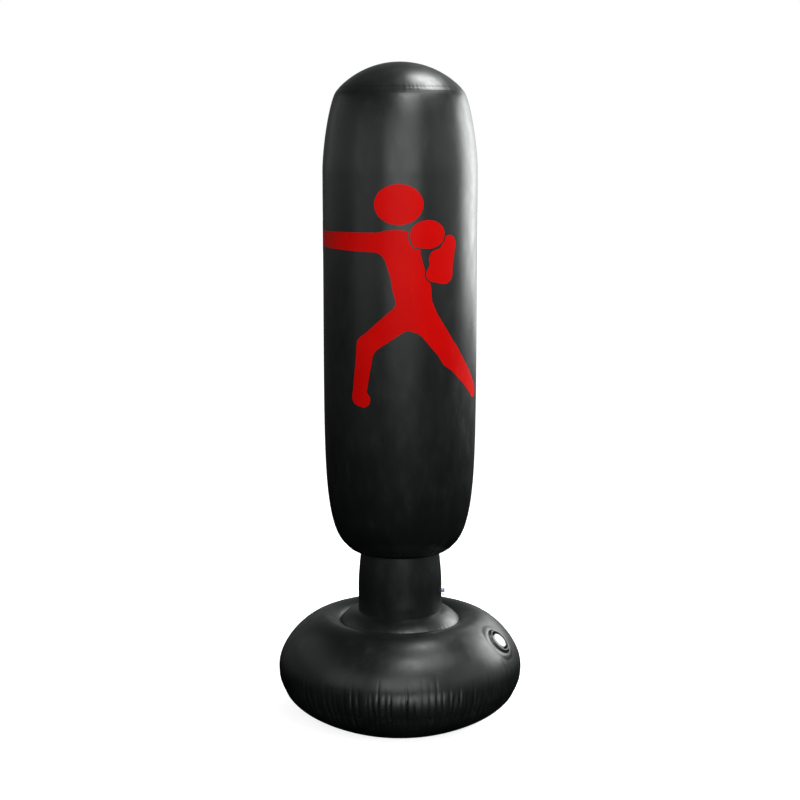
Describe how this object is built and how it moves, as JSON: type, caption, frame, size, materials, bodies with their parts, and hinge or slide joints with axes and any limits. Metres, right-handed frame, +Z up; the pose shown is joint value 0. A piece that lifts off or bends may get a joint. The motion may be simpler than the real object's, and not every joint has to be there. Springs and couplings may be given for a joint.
{
  "type": "free standing punch bag",
  "caption": "Inflatable free-standing punching tower: water-filled ring base, flexible neck, tall air-filled column, screw-capped filler and stopper air valve.",
  "frame": {"origin": "centre of the base's flat underside, on the floor", "axes": "+Z up along the column, +X through the air valve, -Y towards the printed front"},
  "size_m": [0.5984, 0.5984, 1.6],
  "materials": {
    "black_film": "satin",
    "valve_grey": "satin",
    "valve_white": "satin",
    "valve_clear": "gloss",
    "seal_rubber": "matte",
    "water": "gloss",
    "print_red": "satin"
  },
  "bodies": {
    "base": {"base_lower_panel": "black_film", "base_upper_panel": "black_film", "base_baffle_sleeve": "black_film", "collar_panel": "black_film", "water_ballast": "water", "filler_flange": "valve_grey", "filler_spout": "valve_white", "filler_tether_strap": "valve_grey", "air_valve_stem": "valve_clear", "air_valve_strap": "valve_clear"},
    "neck": {"neck_tube": "black_film"},
    "column": {"column_floor_panel": "black_film", "column_wall": "black_film", "column_dome": "black_film"},
    "cap_retainer": {"filler_tether_ring": "valve_grey"},
    "cap": {"filler_cap": "valve_white", "filler_seal": "seal_rubber"},
    "stopper": {"air_valve_plug": "valve_clear"},
    "flap": {"air_valve_flap": "valve_clear"}
  },
  "joints": [
    {"name": "lean_fore_aft", "type": "hinge", "parent": "base", "child": "neck", "pos_m": [0, 0, 0.372], "axis": [1, 0, 0], "range_deg": [-15, 15], "stiffness_Nm_per_rad": 30, "deforming": ["neck_tube"]},
    {"name": "lean_sideways", "type": "hinge", "parent": "neck", "child": "column", "pos_m": [0, 0, 0.372], "axis": [0, 1, 0], "range_deg": [-15, 15], "stiffness_Nm_per_rad": 30, "deforming": ["neck_tube"]},
    {"name": "cap_lift", "type": "slide", "parent": "base", "child": "cap_retainer", "axis": [0.6736, -0.2708, 0.6876], "range_m": [0, 0.0061], "deforming": ["filler_tether_strap"]},
    {"name": "cap_turn", "type": "hinge", "parent": "cap_retainer", "child": "cap", "pos_m": [0.24039, -0.09664, 0.21725], "axis": [0.6736, -0.2708, 0.6876], "range_deg": [0, 720]},
    {"name": "stopper_pull", "type": "slide", "parent": "base", "child": "stopper", "axis": [1, 0, 0], "range_m": [0, 0.012], "deforming": ["air_valve_strap"]},
    {"name": "flap_open", "type": "hinge", "parent": "base", "child": "flap", "pos_m": [0.0932, 0, 0.3224], "axis": [0, 1, 0], "range_deg": [0, 50], "stiffness_Nm_per_rad": 0.0005}
  ],
  "couplings": [
    {"joint": "cap_lift", "follows": "cap_turn", "m_per_rad": 0.00047746}
  ]
}
